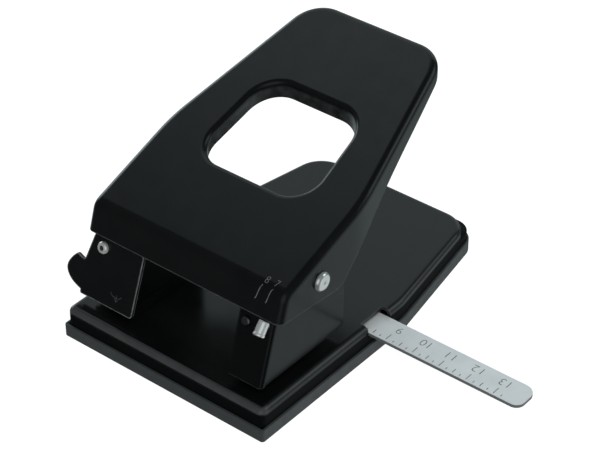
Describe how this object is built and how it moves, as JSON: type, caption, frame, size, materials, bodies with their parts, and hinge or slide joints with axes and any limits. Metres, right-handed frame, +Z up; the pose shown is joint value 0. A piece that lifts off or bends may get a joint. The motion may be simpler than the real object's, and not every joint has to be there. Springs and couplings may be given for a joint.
{
  "type": "two-hole punch",
  "caption": "Desk hole punch: pressed lever handle with a window over bent brackets on a plate base, with punch pins, lock lever, pull-off chip tray and sliding paper gauge.",
  "frame": {"origin": "middle of the base's footprint on the table top", "axes": "+X to the gauge side, +Y towards the handle's free end, +Z up; the nose faces -Y"},
  "size_m": [0.1781, 0.1516, 0.0992],
  "materials": {
    "black_enamel": "black gloss enamel on pressed steel, slightly soft reflections",
    "tray_plastic": "dark grey satin moulding",
    "foot_rubber": "plain black rubber",
    "plain_steel": "plain machined or rolled steel",
    "nickel": "bright nickel plate",
    "gauge_metal": "matte silver sheet with engraved scale"
  },
  "bodies": {
    "base": {"base_plate": "black_enamel", "left_die": "plain_steel", "right_die": "plain_steel", "left_bracket": "black_enamel", "right_bracket": "black_enamel", "left_paper_stop": "black_enamel", "right_paper_stop": "black_enamel", "bracket_rivets": "plain_steel", "left_pin_guide": "plain_steel", "right_pin_guide": "plain_steel", "guide_rivets": "plain_steel", "left_return_spring": "plain_steel", "right_return_spring": "plain_steel", "pivot_axle": "nickel", "pivot_washers": "plain_steel", "lock_rivet": "nickel", "lock_washer": "plain_steel", "stop_stud": "nickel", "stud_backing_plate": "plain_steel", "flange_rivet": "nickel", "gauge_guide": "plain_steel", "gauge_spring": "plain_steel"},
    "handle": {"handle": "black_enamel", "presser_bar": "plain_steel", "lock_catch": "plain_steel"},
    "left_pin": {"left_punch_pin": "plain_steel", "left_spring_seat": "plain_steel"},
    "right_pin": {"right_punch_pin": "plain_steel", "right_spring_seat": "plain_steel"},
    "lock": {"lock_lever": "black_enamel"},
    "gauge": {"paper_gauge": "gauge_metal"},
    "tray": {"chip_tray": "tray_plastic", "rubber_pad": "foot_rubber"}
  },
  "joints": [
    {"name": "handle_press", "type": "hinge", "parent": "base", "child": "handle", "pos_m": [0, -0.0378, 0.0529], "axis": [-1, 0, 0], "range_deg": [0, 30], "stiffness_Nm_per_rad": 0.5, "springref_deg": -28.65},
    {"name": "left_pin_stroke", "type": "slide", "parent": "base", "child": "left_pin", "axis": [0, 0, -1], "range_m": [0, 0.007], "deforming": ["left_return_spring"]},
    {"name": "right_pin_stroke", "type": "slide", "parent": "base", "child": "right_pin", "axis": [0, 0, -1], "range_m": [0, 0.007], "deforming": ["right_return_spring"]},
    {"name": "lock_swing", "type": "hinge", "parent": "base", "child": "lock", "pos_m": [-0.04103, -0.06133, 0.03969], "axis": [0, -0.9527, 0.3039], "range_deg": [0, 23]},
    {"name": "gauge_slide", "type": "slide", "parent": "base", "child": "gauge", "axis": [1, 0, 0], "range_m": [-0.06, 0.012]},
    {"name": "tray_pull", "type": "slide", "parent": "base", "child": "tray", "axis": [0, 0, -1], "range_m": [0, 0.015]}
  ],
  "couplings": [
    {"joint": "left_pin_stroke", "follows": "handle_press", "m_per_rad": 0.0133},
    {"joint": "right_pin_stroke", "follows": "handle_press", "m_per_rad": 0.0133}
  ]
}
